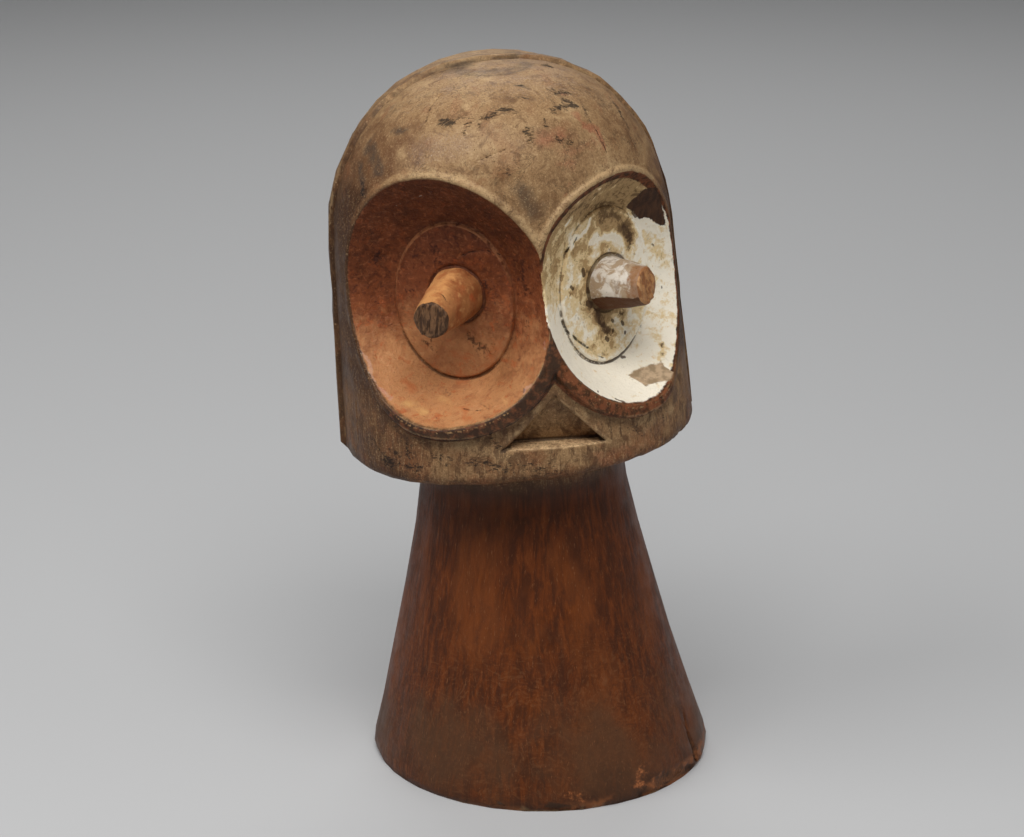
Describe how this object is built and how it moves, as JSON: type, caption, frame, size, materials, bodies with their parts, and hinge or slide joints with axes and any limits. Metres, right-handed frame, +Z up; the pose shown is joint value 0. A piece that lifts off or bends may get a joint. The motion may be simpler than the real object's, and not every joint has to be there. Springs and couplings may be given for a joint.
{
  "type": "janus head figure",
  "caption": "Carved wooden head with a mask-like face on each side, ringed dish-shaped eyes with standing peg pupils and a notched mouth, on a flared conical neck.",
  "frame": {"origin": "centre of the flat underside, where the foot rests on the ground", "axes": "+Z up, -Y out of the front face, +X towards the viewer's right when looking at the front face"},
  "size_m": [0.1589, 0.1428, 0.2995],
  "materials": {
    "carved_wood": "aged, handled hardwood with a soft satin sheen, rubbed red pigment in one eye and worn white pigment in the other"
  },
  "bodies": {
    "root": {"janus_figure": "carved_wood"}
  },
  "joints": []
}
